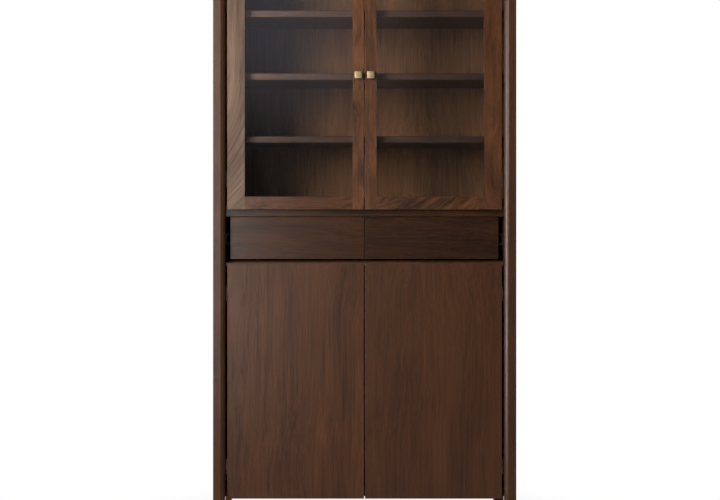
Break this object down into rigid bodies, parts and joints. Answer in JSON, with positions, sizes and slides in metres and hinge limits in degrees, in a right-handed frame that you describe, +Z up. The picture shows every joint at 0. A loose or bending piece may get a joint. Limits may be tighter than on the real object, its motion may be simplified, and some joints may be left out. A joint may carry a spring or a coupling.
{
  "type": "glass-front cabinet",
  "caption": "Tall walnut cabinet with framed glass doors over drawers and plain doors, in a chamfered post frame; doors swing and drawers slide.",
  "frame": {"origin": "on the floor under the middle of the case", "axes": "+X to the right as seen from the front, +Y to the back, +Z up"},
  "size_m": [0.9, 0.4, 1.8],
  "materials": {
    "walnut": "satin oil",
    "drawer_wood": "plain",
    "glass": "clear",
    "brass": "brushed",
    "nickel_steel": "nickel",
    "zinc_steel": "zinc",
    "dark_plastic": "matte"
  },
  "bodies": {
    "cabinet": {"back_panel_lower": "walnut", "back_panel_upper": "walnut", "base_panel": "walnut", "cupboard_shelf": "walnut", "display_floor": "walnut", "display_shelf_1": "walnut", "display_shelf_2": "walnut", "display_shelf_3": "walnut", "drawer_floor": "walnut", "drawer_partition": "walnut", "drawer_slide_channels": "zinc_steel", "drawer_top_rail": "walnut", "floor_glides": "dark_plastic", "front_post_left": "walnut", "front_post_right": "walnut", "hinge_arms": "nickel_steel", "hinge_mounting_plates": "nickel_steel", "magnetic_catches": "dark_plastic", "rear_post_left": "walnut", "rear_post_right": "walnut", "shelf_supports": "nickel_steel", "side_panel_left": "walnut", "side_panel_right": "walnut", "side_rails_left": "walnut", "side_rails_right": "walnut", "top_board": "walnut"},
    "glass_door_left": {"glass_door_left_bottom_rail": "walnut", "glass_door_left_glass_pane": "glass", "glass_door_left_glazing_beads": "walnut", "glass_door_left_hinge_cups": "nickel_steel", "glass_door_left_hinge_pins": "nickel_steel", "glass_door_left_hinge_stile": "walnut", "glass_door_left_knob": "brass", "glass_door_left_meeting_stile": "walnut", "glass_door_left_top_rail": "walnut"},
    "glass_door_right": {"glass_door_right_bottom_rail": "walnut", "glass_door_right_glass_pane": "glass", "glass_door_right_glazing_beads": "walnut", "glass_door_right_hinge_cups": "nickel_steel", "glass_door_right_hinge_pins": "nickel_steel", "glass_door_right_hinge_stile": "walnut", "glass_door_right_knob": "brass", "glass_door_right_meeting_stile": "walnut", "glass_door_right_top_rail": "walnut"},
    "lower_door_left": {"lower_door_left_hinge_cups": "nickel_steel", "lower_door_left_hinge_pins": "nickel_steel", "lower_door_left_panel": "walnut"},
    "lower_door_right": {"lower_door_right_hinge_cups": "nickel_steel", "lower_door_right_hinge_pins": "nickel_steel", "lower_door_right_panel": "walnut"},
    "drawer_left": {"drawer_left_bottom": "drawer_wood", "drawer_left_box": "drawer_wood", "drawer_left_front": "walnut", "drawer_left_slides": "zinc_steel"},
    "drawer_right": {"drawer_right_bottom": "drawer_wood", "drawer_right_box": "drawer_wood", "drawer_right_front": "walnut", "drawer_right_slides": "zinc_steel"}
  },
  "joints": [
    {"name": "glass_door_left_hinge", "type": "hinge", "parent": "cabinet", "child": "glass_door_left", "pos_m": [-0.402, -0.1725, 1.361], "axis": [0, 0, -1], "range_deg": [0, 95]},
    {"name": "glass_door_right_hinge", "type": "hinge", "parent": "cabinet", "child": "glass_door_right", "pos_m": [0.402, -0.1725, 1.361], "axis": [0, 0, 1], "range_deg": [0, 95]},
    {"name": "lower_door_left_hinge", "type": "hinge", "parent": "cabinet", "child": "lower_door_left", "pos_m": [-0.402, -0.1725, 0.45], "axis": [0, 0, -1], "range_deg": [0, 95]},
    {"name": "lower_door_right_hinge", "type": "hinge", "parent": "cabinet", "child": "lower_door_right", "pos_m": [0.402, -0.1725, 0.45], "axis": [0, 0, 1], "range_deg": [0, 95]},
    {"name": "drawer_left_slide", "type": "slide", "parent": "cabinet", "child": "drawer_left", "axis": [0, -1, 0], "range_m": [0, 0.2]},
    {"name": "drawer_right_slide", "type": "slide", "parent": "cabinet", "child": "drawer_right", "axis": [0, -1, 0], "range_m": [0, 0.2]}
  ]
}
